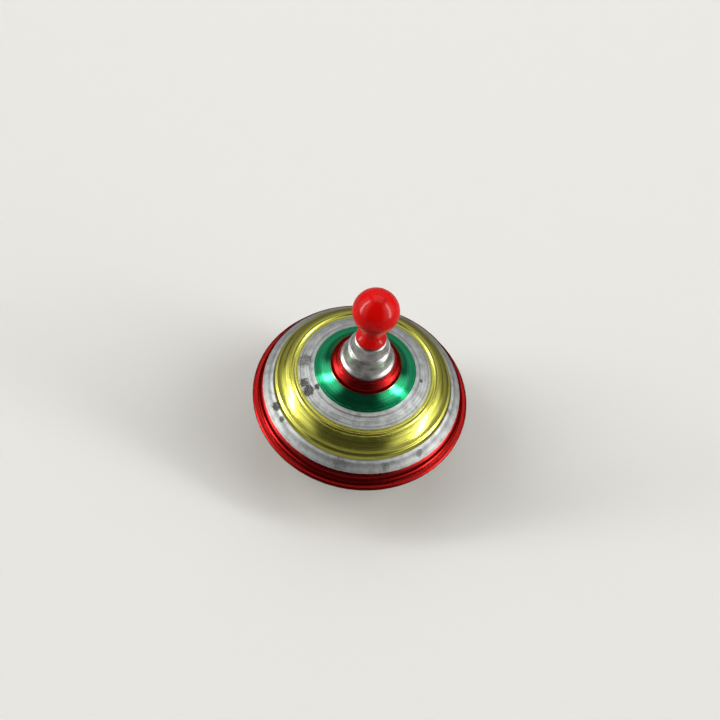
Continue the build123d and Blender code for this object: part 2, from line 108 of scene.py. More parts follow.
@dataclass(frozen=True)
class Corner:
    """One corner of an outline: millimetres out and up, and the radius of its bend."""

    out: float
    up: float
    bend: float = 0.0

    def place(self, base: Vector) -> Vector:
        """Work out its place in metres, at angle 0 round the axis, from a base point."""
        return base + Vector((self.out, 0, self.up)) * MM


# ------------------------------------------------------------------------------------ mesh tools


def outline_mesh(points: list[Vector]) -> bmesh.types.BMesh:
    """Start a mesh with one open chain of vertices.

    Args:
        points: Places of the chain's vertices, in order.

    Returns:
        The mesh.
    """
    mesh = bmesh.new()
    chain = [mesh.verts.new(point) for point in points]
    for first, second in zip(chain, chain[1:]):
        mesh.edges.new((first, second))
    return mesh


def bevel(
    mesh: bmesh.types.BMesh, geom: list, offset: float, segments: int, affect: str = "EDGES"
) -> list[bmesh.types.BMVert]:
    """Round edges or vertices with an arc.

    Args:
        mesh: The mesh.
        geom: What is rounded.
        offset: How far from it the arc starts.
        segments: Edges in the arc.
        affect: EDGES or VERTICES.

    Returns:
        The new vertices.
    """
    made = bmesh.ops.bevel(
        mesh,
        geom=geom,
        offset=offset,
        offset_type="OFFSET",
        affect=affect,
        segments=segments,
        profile=ROUND_PROFILE,
        material=-1,
    )
    return made["verts"]


def round_corners(mesh: bmesh.types.BMesh, bends: list[float], segments: int = 6) -> None:
    """Round each corner of an open chain to its own radius.

    Args:
        mesh: A mesh from outline_mesh.
        bends: One radius for each vertex of the chain, 0 to leave it sharp.
        segments: Edges in each rounded corner.
    """
    for vertex, bend in zip(list(mesh.verts), bends):
        if bend <= 0 or len(vertex.link_edges) != 2:
            continue
        arms = [edge.other_vert(vertex).co - vertex.co for edge in vertex.link_edges]
        half_angle = arms[0].angle(arms[1]) / 2
        setback = min(bend / math.tan(half_angle), MOST_OF_ARM * min(arm.length for arm in arms))
        bevel(mesh, [vertex], setback, segments, affect="VERTICES")


def spin_full(mesh: bmesh.types.BMesh, steps: int) -> None:
    """Turn the mesh's chain once round the spin axis, with its seam and poles closed.

    Args:
        mesh: A mesh that holds one chain.
        steps: Faces round the axis.
    """
    bmesh.ops.spin(
        mesh,
        geom=mesh.verts[:] + mesh.edges[:],
        cent=(0, 0, 0),
        axis=(0, 0, 1),
        angle=math.tau,
        steps=steps,
        use_merge=True,
    )
    bmesh.ops.remove_doubles(mesh, verts=mesh.verts[:], dist=MERGE_DISTANCE)
    bmesh.ops.recalc_face_normals(mesh, faces=mesh.faces[:])


def turned(corners: list[Corner], base: Vector, steps: int = 128) -> bmesh.types.BMesh:
    """Turn an outline with rounded corners once round the spin axis.

    Args:
        corners: The outline, in millimetres from the base.
        base: The point that the outline is measured from.
        steps: Faces round the axis.

    Returns:
        The mesh.
    """
    mesh = outline_mesh([corner.place(base) for corner in corners])
    round_corners(mesh, [corner.bend * MM for corner in corners])
    spin_full(mesh, steps)
    return mesh


def sheet_turned(
    corners: list[Corner], base: Vector, thickness: float, steps: int = 144
) -> bmesh.types.BMesh:
    """Make pressed sheet from the outline of its visible side.

    Args:
        corners: The visible side's outline, in millimetres from the base.
        base: The point that the outline is measured from.
        thickness: The sheet's thickness, added behind the visible side.
        steps: Faces round the axis.

    Returns:
        The mesh, closed.
    """
    mesh = turned(corners, base, steps)
    start, onward = (corner.place(base) for corner in corners[:2])
    along = (onward - start).normalized()
    visible = Vector((along.z, 0, -along.x))
    facing = min(mesh.faces, key=lambda face: (face.calc_center_median() - start).length)
    turn = Matrix.Rotation(math.atan2(*reversed(facing.calc_center_median().xy)), 3, "Z")
    if facing.normal.dot(turn @ visible) < 0:
        bmesh.ops.reverse_faces(mesh, faces=mesh.faces[:])
    bmesh.ops.solidify(mesh, geom=mesh.faces[:], thickness=thickness)
    return mesh


def place(
    mesh: bmesh.types.BMesh, name: str, material: bpy.types.Material, smooth_deg: float = 40
) -> bpy.types.Object:
    """Turn a finished mesh into an object at the origin, in its material.

    Args:
        mesh: The finished mesh, which is freed.
        name: The piece's name.
        material: Its material.
        smooth_deg: Edges that turn by more than this stay sharp.

    Returns:
        The object.
    """
    data = bpy.data.meshes.new(name)
    mesh.to_mesh(data)
    mesh.free()
    data.shade_smooth()
    data.set_sharp_from_angle(angle=math.radians(smooth_deg))
    data.materials.append(material)
    piece = bpy.data.objects.new(name, data)
    bpy.context.scene.collection.objects.link(piece)
    LOG.info("%s: %d faces", name, len(data.polygons))
    return piece


def stand_for(piece: bpy.types.Object, node: str, body: Body) -> None:
    """Let a piece ride on its body and show in place of a frame node.

    Args:
        piece: The detailed piece.
        node: The frame node that it stands for.
        body: The body that carries it.
    """
    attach(piece, body.value)
    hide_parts(node)


# -------------------------------------------------------------------------------- shader groups


class Shader:
    """A small helper that adds and joins shader nodes in one node tree.

    The Mix node has sockets of every kind under the same names, so they are told by number.
    """

    MIX_COLOURS = (6, 7)
    MIX_COLOUR_OUT = 2
    MIX_NUMBERS = (2, 3)
    MIX_NUMBER_OUT = 0

    def __init__(self, tree: bpy.types.NodeTree) -> None:
        """Keep the tree that the nodes are added to."""
        self.tree = tree

    def node(self, kind: str, **settings: object) -> bpy.types.Node:
        """Add a node and set its plain properties.

        Args:
            kind: The node's type name.
            **settings: Properties of the node.

        Returns:
            The node.
        """
        made = self.tree.nodes.new(kind)
        for key, value in settings.items():
            setattr(made, key, value)
        return made

    def feed(self, socket: bpy.types.NodeSocket, value: object) -> None:
        """Join a socket to another socket, or set its value.

        Args:
            socket: The input.
            value: A socket, or a plain value.
        """
        if isinstance(value, bpy.types.NodeSocket):
            self.tree.links.new(value, socket)
        else:
            socket.default_value = value

    def math(self, operation: str, *values: object, clamp: bool = False) -> bpy.types.NodeSocket:
        """Add a Math node.

        Args:
            operation: The node's operation.
            *values: Its inputs, as sockets or numbers.
            clamp: Keep the result from 0 to 1.

        Returns:
            Its output.
        """
        made = self.node("ShaderNodeMath", operation=operation, use_clamp=clamp)
        for socket, value in zip(made.inputs, values):
            self.feed(socket, value)
        return made.outputs[0]

    def ramp(
        self, value: object, low: object, high: object, to_low: object = 0.0, to_high: object = 1.0
    ) -> bpy.types.NodeSocket:
        """Map a value from one range to another, smoothly, and keep it there.

        Args:
            value: What is mapped.
            low: Where it starts.
            high: Where it ends.
            to_low: The result at the start.
            to_high: The result at the end.

        Returns:
            The mapped value.
        """
        made = self.node("ShaderNodeMapRange", interpolation_type="SMOOTHSTEP")
        for name, item in zip(
            ("Value", "From Min", "From Max", "To Min", "To Max"),
            (value, low, high, to_low, to_high),
        ):
            self.feed(made.inputs[name], item)
        return made.outputs["Result"]

    def mix(self, amount: object, first: object, second: object) -> bpy.types.NodeSocket:
        """Mix two colours.

        Args:
            amount: 0 for the first, 1 for the second.
            first: A colour or a socket.
            second: A colour or a socket.

        Returns:
            The mixed colour.
        """
        made = self.node("ShaderNodeMix", data_type="RGBA")
        self.feed(made.inputs[0], amount)
        for index, colour in zip(self.MIX_COLOURS, (first, second)):
            self.feed(made.inputs[index], self.rgba(colour))
        return made.outputs[self.MIX_COLOUR_OUT]

    def blend(self, amount: object, first: object, second: object) -> bpy.types.NodeSocket:
        """Mix two numbers.

        Args:
            amount: 0 for the first, 1 for the second.
            first: A number or a socket.
            second: A number or a socket.

        Returns:
            The mixed number.
        """
        made = self.node("ShaderNodeMix", data_type="FLOAT")
        self.feed(made.inputs[0], amount)
        for index, number in zip(self.MIX_NUMBERS, (first, second)):
            self.feed(made.inputs[index], number)
        return made.outputs[self.MIX_NUMBER_OUT]

    @staticmethod
    def rgba(colour: object) -> object:
        """Give a plain colour the alpha that a colour socket needs.

        Args:
            colour: A colour or a socket.

        Returns:
            The colour with its alpha, or the socket.
        """
        if isinstance(colour, tuple) and len(colour) == 3:
            return (*colour, 1.0)
        return colour

    def noise(
        self, vector: object, scale: float, detail: float = 3.0, rough: float = 0.5
    ) -> bpy.types.NodeSocket:
        """Add a noise texture.

        Args:
            vector: Where it is read.
            scale: Its scale.
            detail: Its finer layers.
            rough: How strong they are.

        Returns:
            Its value, about 0.5 on average.
        """
        made = self.node("ShaderNodeTexNoise", noise_dimensions="3D")
        self.feed(made.inputs["Vector"], vector)
        made.inputs["Scale"].default_value = scale
        made.inputs["Detail"].default_value = detail
        made.inputs["Roughness"].default_value = rough
        return made.outputs["Fac"]

    def position(self) -> bpy.types.NodeSocket:
        """Read the object coordinates.

        Returns:
            The place in millimetres.
        """
        coordinates = self.node("ShaderNodeTexCoord")
        scaled = self.node("ShaderNodeVectorMath", operation="SCALE")
        self.feed(scaled.inputs[0], coordinates.outputs["Object"])
        scaled.inputs["Scale"].default_value = 1 / MM
        return scaled.outputs[0]

    def split(self, vector: bpy.types.NodeSocket) -> tuple[bpy.types.NodeSocket, ...]:
        """Take a vector apart.

        Args:
            vector: The vector.

        Returns:
            Its x, y and z.
        """
        made = self.node("ShaderNodeSeparateXYZ")
        self.feed(made.inputs[0], vector)
        return tuple(made.outputs)

    def join(self, x: object, y: object, z: object) -> bpy.types.NodeSocket:
        """Put a vector together.

        Args:
            x: Its x.
            y: Its y.
            z: Its z.

        Returns:
            The vector.
        """
        made = self.node("ShaderNodeCombineXYZ")
        for socket, value in zip(made.inputs, (x, y, z)):
            self.feed(socket, value)
        return made.outputs[0]

    def along(
        self, vector: bpy.types.NodeSocket, direction: tuple[float, float, float]
    ) -> bpy.types.NodeSocket:
        """Find how far a vector reaches along a direction.

        Args:
            vector: The vector.
            direction: The direction, of length 1.

        Returns:
            The reach.
        """
        made = self.node("ShaderNodeVectorMath", operation="DOT_PRODUCT")
        self.feed(made.inputs[0], vector)
        made.inputs[1].default_value = direction
        return made.outputs["Value"]

    def radius(self, vector: bpy.types.NodeSocket) -> bpy.types.NodeSocket:
        """Find the distance of a place from the spin axis.

        Args:
            vector: The place.

        Returns:
            The distance.
        """
        x, y, _ = self.split(vector)
        flat = self.node("ShaderNodeVectorMath", operation="LENGTH")
        self.feed(flat.inputs[0], self.join(x, y, 0.0))
        return flat.outputs["Value"]


class GroupKit:
    """Shader node groups that several materials share, each built once."""

    def __init__(self) -> None:
        """Build the groups."""
        self.turning = self._turning_lines()
        self.tarnish = self._tarnish()
        self.patch = self._patch()

    @staticmethod
    def _open(
        name: str, inputs: dict[str, float], outputs: tuple[str, ...]
    ) -> tuple[bpy.types.NodeTree, Shader, bpy.types.Node, bpy.types.Node]:
        """Start a group with float inputs and outputs.

        Args:
            name: The group's name.
            inputs: Names and defaults of its inputs.
            outputs: Names of its outputs.

        Returns:
            The group, its shader helper, and its input and output nodes.
        """
        tree = bpy.data.node_groups.new(name, "ShaderNodeTree")
        for key, value in inputs.items():
            socket = tree.interface.new_socket(key, in_out="INPUT", socket_type="NodeSocketFloat")
            socket.default_value = value
        for key in outputs:
            tree.interface.new_socket(key, in_out="OUTPUT", socket_type="NodeSocketFloat")
        shader = Shader(tree)
        return tree, shader, shader.node("NodeGroupInput"), shader.node("NodeGroupOutput")

    def _turning_lines(self) -> bpy.types.NodeTree:
        """Fine rings round the axis, as a spun or turned surface has.

        Returns:
            The group: Height is the rings' height and Haze a broad, blotchy dullness.
        """
        tree, s, into, out = self._open(
            "Turning Lines", {"Lines per mm": 2.0, "Wander": 0.05}, ("Height", "Haze")
        )
        place = s.position()
        _, _, z = s.split(place)
        wobble = s.noise(place, 0.12, 2.0)
        radius = s.radius(place)
        wandered = s.math("MULTIPLY_ADD", wobble, into.outputs["Wander"], radius)
        across = s.math("MULTIPLY", wandered, into.outputs["Lines per mm"])
        up = s.math("MULTIPLY", z, into.outputs["Lines per mm"])
        rings = s.noise(s.join(across, up, s.math("MULTIPLY", wobble, 0.6)), 1.0, 3.0, 0.65)
        s.feed(out.inputs["Height"], rings)
        s.feed(out.inputs["Haze"], s.noise(place, 0.22, 4.0, 0.6))
        return tree

    def _tarnish(self) -> bpy.types.NodeTree:
        """Small dark pits and dull freckles.

        Returns:
            The group: Pits is 1 inside a pit and Dull is a softer freckling.
        """
        tree, s, into, out = self._open("Tarnish", {"Amount": 0.5, "Grain": 1.0}, ("Pits", "Dull"))
        place = s.position()
        scaled = s.node("ShaderNodeVectorMath", operation="SCALE")
        s.feed(scaled.inputs[0], place)
        s.feed(scaled.inputs["Scale"], into.outputs["Grain"])
        coarse = s.noise(scaled.outputs[0], 0.35, 4.0, 0.7)
        fine = s.noise(scaled.outputs[0], 1.5, 3.0, 0.7)
        both = s.math("MULTIPLY_ADD", fine, 0.45, s.math("MULTIPLY", coarse, 0.55))
        edge = s.math("MULTIPLY_ADD", into.outputs["Amount"], -0.3, 0.78)
        s.feed(out.inputs["Pits"], s.ramp(both, edge, s.math("ADD", edge, 0.035)))
        s.feed(out.inputs["Dull"], s.ramp(both, s.math("SUBTRACT", edge, 0.14), edge))
        return tree

    def _patch(self) -> bpy.types.NodeTree:
        """A soft round patch on the surface, with a ragged edge.

        Returns:
            The group: Mask is 1 at the patch's middle.
        """
        tree, s, into, out = self._open(
            "Patch", {"X": 0.0, "Y": 0.0, "Z": 0.0, "Size": 5.0, "Ragged": 0.4}, ("Mask",)
        )
        place = s.position()
        centre = s.join(into.outputs["X"], into.outputs["Y"], into.outputs["Z"])
        away = s.node("ShaderNodeVectorMath", operation="DISTANCE")
        s.feed(away.inputs[0], place)
        s.feed(away.inputs[1], centre)
        share = s.math("DIVIDE", away.outputs["Value"], into.outputs["Size"])
        rough = s.math("SUBTRACT", s.noise(place, 0.6, 4.0, 0.7), 0.5)
        torn = s.math("MULTIPLY_ADD", rough, into.outputs["Ragged"], share)
        s.feed(out.inputs["Mask"], s.ramp(torn, 0.55, 1.0, 1.0, 0.0))
        return tree


class Finish:
    """A material under construction: one Principled shader and the nodes that feed it."""

    def __init__(self, name: str) -> None:
        """Start the material.

        Args:
            name: The material's name.
        """
        self.material = bpy.data.materials.new(name)
        self.material.use_nodes = True
        self.tree = self.material.node_tree
        self.shader = Shader(self.tree)
        self.principled = self.tree.nodes["Principled BSDF"]

    def set(self, **values: object) -> None:
        """Set or join inputs of the Principled shader, named with underscores for spaces."""
        for key, value in values.items():
            self.shader.feed(self.principled.inputs[key.replace("_", " ")], value)

    def group(self, tree: bpy.types.NodeTree, **values: object) -> bpy.types.Node:
        """Place a shared group with its own values.

        Args:
            tree: The group.
            **values: Its inputs, named with underscores for spaces.

        Returns:
            The group's node.
        """
        made = self.shader.node("ShaderNodeGroup", node_tree=tree)
        for key, value in values.items():
            self.shader.feed(made.inputs[key.replace("_", " ")], value)
        return made

    def bump(
        self, height: object, strength: float, distance_mm: float, under: object = None
    ) -> bpy.types.NodeSocket:
        """Add a Bump node.

        Args:
            height: The height's socket.
            strength: The node's strength.
            distance_mm: How high a height of 1 stands.
            under: A normal that it adds to.

        Returns:
            The new normal.
        """
        made = self.shader.node("ShaderNodeBump")
        made.inputs["Strength"].default_value = strength
        made.inputs["Distance"].default_value = distance_mm * MM
        self.shader.feed(made.inputs["Height"], height)
        if under is not None:
            self.shader.feed(made.inputs["Normal"], under)
        return made.outputs["Normal"]


@dataclass(frozen=True)
class BandEdge:
    """Where one lacquer gives way to the next, going out from the axis."""

    radius_mm: float
    soft_mm: float
    outside: Lacquer


@dataclass(frozen=True)
class Mark:
    """A worn place on the tin: its angle round the axis, radius and size."""

    angle_deg: float
    radius_mm: float
    height_mm: float
    size_mm: float
    dark: float

    def centre(self) -> tuple[float, float, float]:
        """Find where the mark is.

        Returns:
            Its place in millimetres.
        """
        angle = math.radians(self.angle_deg)
        return (
            self.radius_mm * math.cos(angle),
            self.radius_mm * math.sin(angle),
            self.height_mm,
        )


@dataclass(frozen=True)
class BandedTin:
    """Bright tinplate under rings of transparent lacquer, scuffed and pitted."""

    name: str
    inmost: Lacquer
    edges: tuple[BandEdge, ...]
    marks: tuple[Mark, ...]
    edge_wander_mm: float = 0.5
    lines_per_mm: float = 1.5
    line_height_mm: float = 0.14
    tarnish: float = 0.42
    raggedness: float = 1.5
    coat_rough: float = 0.1

    def make(self, groups: GroupKit) -> bpy.types.Material:
        """Build the material.

        Args:
            groups: The shared node groups.

        Returns:
            The material.
        """
        f = Finish(self.name)
        s = f.shader
        place = s.position()
        tint, haze, gloss, bare = self.bands(s, place)
        lines = f.group(groups.turning, Lines_per_mm=self.lines_per_mm, Wander=0.25)
        worn, dark = self.wear(f, groups, place, bare)

        # Painted shade: the tint darkens towards near black in the low parts of the turning lines,
        # as shade in their grooves.
        groove = s.ramp(lines.outputs["Height"], 0.32, 0.62, 0.5, 1.0)
        groove_shaded = s.mix(s.math("SUBTRACT", 1.0, groove), tint, GROOVE_PAINTED_SHADE)
        cloud = s.ramp(lines.outputs["Haze"], 0.38, 0.68, 0.0, 0.35)
        clouded = s.mix(cloud, groove_shaded, GREY_CLOUD)
        stained = s.mix(s.math("MULTIPLY", worn, 0.45), clouded, WORN_STAIN)
        clean = s.mix(bare, groove_shaded, stained)
        f.set(Base_Color=s.mix(s.math("MULTIPLY", dark, 0.82), clean, BLACK_SPOT))
        smeared = s.ramp(lines.outputs["Haze"], 0.4, 0.7)
        hazed = s.math("MULTIPLY_ADD", smeared, 0.06, haze)
        f.set(Roughness=s.math("MULTIPLY_ADD", dark, 0.2, hazed, clamp=True))
        f.set(Normal=f.bump(lines.outputs["Height"], 0.6, self.line_height_mm))
        f.set(Metallic=s.math("MULTIPLY_ADD", bare, -0.15, 1.0))
        f.set(Coat_Weight=s.math("MULTIPLY", gloss, s.math("SUBTRACT", 1.0, dark)))
        f.set(Coat_Roughness=self.coat_rough, Specular_Tint=EDGE_TINT)
        return f.material

    def bands(self, s: Shader, place: bpy.types.NodeSocket) -> tuple[object, ...]:
        """Change from one lacquer to the next, going out from the axis.

        Args:
            s: The material's shader helper.
            place: Places in millimetres.

        Returns:
            The bands' tint, haze, gloss and how bare the tin is.
        """
        stray = s.math("SUBTRACT", s.noise(place, 0.9, 3.0), 0.5)
        radius = s.math("MULTIPLY_ADD", stray, self.edge_wander_mm, s.radius(place))
        inmost = self.inmost.value
        tint: object = inmost.tint
        numbers: list[object] = [inmost.haze, inmost.gloss, inmost.bare]
        for edge in self.edges:
            half = edge.soft_mm / 2
            past = s.ramp(radius, edge.radius_mm - half, edge.radius_mm + half)
            next_one = edge.outside.value
            tint = s.mix(past, tint, next_one.tint)
            outside = (next_one.haze, next_one.gloss, next_one.bare)
            numbers = [s.blend(past, *pair) for pair in zip(numbers, outside)]
        return tint, *numbers

    def wear(
        self, f: Finish, groups: GroupKit, place: bpy.types.NodeSocket, bare: object
    ) -> tuple[object, object]:
        """Scuff the tin at its marks and pit it all over.

        Args:
            f: The material under construction.
            groups: The shared node groups.
            place: Places in millimetres.
            bare: How bare the tin is.

        Returns:
            How worn the tin is, and how dark its spots and pits are.
        """
        s = f.shader
        tarnish = f.group(groups.tarnish, Amount=self.tarnish, Grain=1.0)
        worn: object = 0.0
        for mark in self.marks:
            x, y, z = mark.centre()
            patch = f.group(
                groups.patch, X=x, Y=y, Z=z, Size=mark.size_mm, Ragged=self.raggedness
            )
            shown = s.math("MULTIPLY", patch.outputs["Mask"], mark.dark)
            worn = s.math("MAXIMUM", worn, shown)
        mottle = s.math("SUBTRACT", s.noise(place, 2.2, 4.0, 0.75), 0.5)
        spots = s.ramp(s.math("MULTIPLY_ADD", mottle, 3.4, worn), 0.5, 0.95)
        spots = s.math("MULTIPLY", spots, s.math("GREATER_THAN", worn, 0.02))
        depth = s.math("MULTIPLY_ADD", bare, 0.6, 0.15)
        pits = s.math("MULTIPLY", tarnish.outputs["Pits"], depth)
        return worn, s.math("MAXIMUM", spots, pits)


@dataclass(frozen=True)
class SpunMetal:
    """Plain metal with fine turning lines and dull spots."""

    name: str
    colour: Colour
    rough: float
    spots: float
    line_height_mm: float = 0.01
    shade: float = 0.4

    def make(self, groups: GroupKit) -> bpy.types.Material:
        """Build the material.

        Args:
            groups: The shared node groups.

        Returns:
            The material.
        """
        f = Finish(self.name)
        s = f.shader
        lines = f.group(groups.turning, Lines_per_mm=3.5, Wander=0.2)
        tarnish = f.group(groups.tarnish, Amount=self.spots, Grain=1.6)
        cloud = s.ramp(lines.outputs["Haze"], 0.35, 0.65, 0.0, 0.7)
        dulled = s.mix(cloud, self.colour, tuple(self.shade * part for part in self.colour))
        f.set(Base_Color=s.mix(tarnish.outputs["Pits"], dulled, DULL_PIT))
        rough = s.math("MULTIPLY_ADD", tarnish.outputs["Dull"], 0.18, self.rough)
        f.set(Roughness=s.math("MULTIPLY_ADD", lines.outputs["Haze"], 0.1, rough, clamp=True))
        f.set(Normal=f.bump(lines.outputs["Height"], 0.4, self.line_height_mm))
        f.set(Metallic=1.0)
        return f.material


@dataclass(frozen=True)
class Enamel:
    """Glossy enamel brushed over turned wood."""

    name: str
    colour: Colour
    deep: Colour
    coat: float = 0.3
    coat_rough: float = 0.03
    shine: float = 0.06

    def make(self, groups: GroupKit) -> bpy.types.Material:
        """Build the material.

        Args:
            groups: The shared node groups.

        Returns:
            The material.
        """
        f = Finish(self.name)
        s = f.shader
        place = s.position()
        lines = f.group(groups.turning, Lines_per_mm=0.9, Wander=0.6)
        cloud = s.noise(place, 0.09, 3.0, 0.55)
        f.set(Base_Color=s.mix(s.ramp(cloud, 0.35, 0.7), self.colour, self.deep))
        f.set(Roughness=s.ramp(s.noise(place, 0.3, 4.0, 0.6), 0.3, 0.75, 0.24, 0.36))
        swell = f.bump(s.noise(place, 0.16, 2.0), 0.5, 0.12)
        f.set(Normal=f.bump(lines.outputs["Height"], 0.25, 0.02, under=swell))
        f.set(Coat_Weight=self.coat, Coat_Roughness=self.coat_rough)
        f.set(Specular_IOR_Level=self.shine)
        return f.material


@dataclass(frozen=True)
class Fibrous:
    """Leather or pressed fibre, with a pored grain."""

    name: str
    colour: Colour
    dark: Colour
    grain_mm: float = 0.12

    def make(self, groups: GroupKit) -> bpy.types.Material:
        """Build the material.

        Args:
            groups: The shared node groups, not used here.

        Returns:
            The material.
        """
        f = Finish(self.name)
        s = f.shader
        place = s.position()
        grain = s.noise(place, 1.4, 5.0, 0.65)
        f.set(Base_Color=s.mix(s.ramp(grain, 0.35, 0.68), self.dark, self.colour))
        f.set(Roughness=s.ramp(grain, 0.3, 0.7, 0.85, 0.6))
        f.set(Normal=f.bump(grain, 0.6, self.grain_mm))
        return f.material


class Finishes:
    """Every finish of the top, built once."""

    def __init__(self, groups: GroupKit) -> None:
        """Build the materials.

        Args:
            groups: The shared node groups.
        """
        self.dome = BandedTin(
            name="banded_dome_tin",
            inmost=Lacquer.RED,
            edges=(
                BandEdge(19.45, 0.5, Lacquer.GREEN),
                BandEdge(28.1, 0.9, Lacquer.SILVER),
                BandEdge(36.6, 1.6, Lacquer.YELLOW),
                BandEdge(49.4, 0.5, Lacquer.SILVER),
                BandEdge(54.75, 0.4, Lacquer.RED),
            ),
            marks=(
                Mark(-179, 33.8, RIM_HEIGHT_MM + 26.1, 5.5, 0.75),
                Mark(-155, 34.6, RIM_HEIGHT_MM + 25.7, 3.4, 0.95),
                Mark(-146, 34.0, RIM_HEIGHT_MM + 25.9, 4.4, 1.0),
                Mark(-145, 29.2, RIM_HEIGHT_MM + 28.0, 2.2, 1.0),
                Mark(-150.5, 50.4, RIM_HEIGHT_MM + 13.2, 3.6, 1.0),
                Mark(-141, 50.9, RIM_HEIGHT_MM + 12.9, 2.2, 0.9),
                Mark(-95, 52.0, RIM_HEIGHT_MM + 11.6, 5.0, 0.55),
                Mark(-67, 52.4, RIM_HEIGHT_MM + 11.2, 3.0, 0.6),
                Mark(-44, 52.0, RIM_HEIGHT_MM + 11.6, 2.8, 0.7),
                Mark(-8, 50.6, RIM_HEIGHT_MM + 13.1, 2.4, 0.6),
                Mark(0, 31.3, RIM_HEIGHT_MM + 27.2, 1.4, 1.0),
                Mark(-88, 29.9, RIM_HEIGHT_MM + 27.7, 2.6, 0.5),
                Mark(70, 52.0, RIM_HEIGHT_MM + 11.6, 5.0, 0.7),
                Mark(95, 32.0, RIM_HEIGHT_MM + 26.9, 4.0, 0.8),
            ),
        ).make(groups)
        self.bowl = BandedTin(
            name="bowl_tin",
            inmost=Lacquer.RED,
            edges=(
                BandEdge(13.2, 0.5, Lacquer.SILVER),
                BandEdge(42.5, 0.6, Lacquer.YELLOW),
                BandEdge(48.6, 0.6, Lacquer.RED),
            ),
            marks=(
                Mark(20, 40.0, 15.4, 7.0, 0.6),
                Mark(200, 28.0, 15.0, 6.0, 0.6),
                Mark(110, 46.0, 20.5, 5.0, 0.7),
            ),
        ).make(groups)
        self.collar = SpunMetal("dull_collar_tin", (0.60, 0.60, 0.59), 0.24, 0.6).make(groups)
        self.steel = SpunMetal("bright_rod_steel", (0.56, 0.56, 0.57), 0.26, 0.35).make(groups)
        self.clutch = SpunMetal("plain_clutch_steel", (0.42, 0.42, 0.43), 0.36, 0.4).make(groups)
        self.tip = SpunMetal("polished_tip_steel", (0.52, 0.52, 0.53), 0.2, 0.2).make(groups)
        self.brass = SpunMetal("rolled_reed_brass", (0.72, 0.47, 0.16), 0.3, 0.45).make(groups)
        self.rivet = SpunMetal("rivet_metal", (0.66, 0.66, 0.67), 0.3, 0.3).make(groups)
        bright, deep = (0.60, 0.001, 0.0008), (0.44, 0.0008, 0.0006)
        self.knob = Enamel("red_knob_enamel", bright, deep).make(groups)
        bright, deep = (0.22, 0.06, 0.035), (0.12, 0.03, 0.02)
        self.fibre = Fibrous("red_clutch_fibre", bright, deep).make(groups)
        bright, deep = (0.2, 0.1, 0.045), (0.1, 0.045, 0.02)
        self.leather = Fibrous("oiled_washer_leather", bright, deep).make(groups)


# ---------------------------------------------------------------------------------- the top


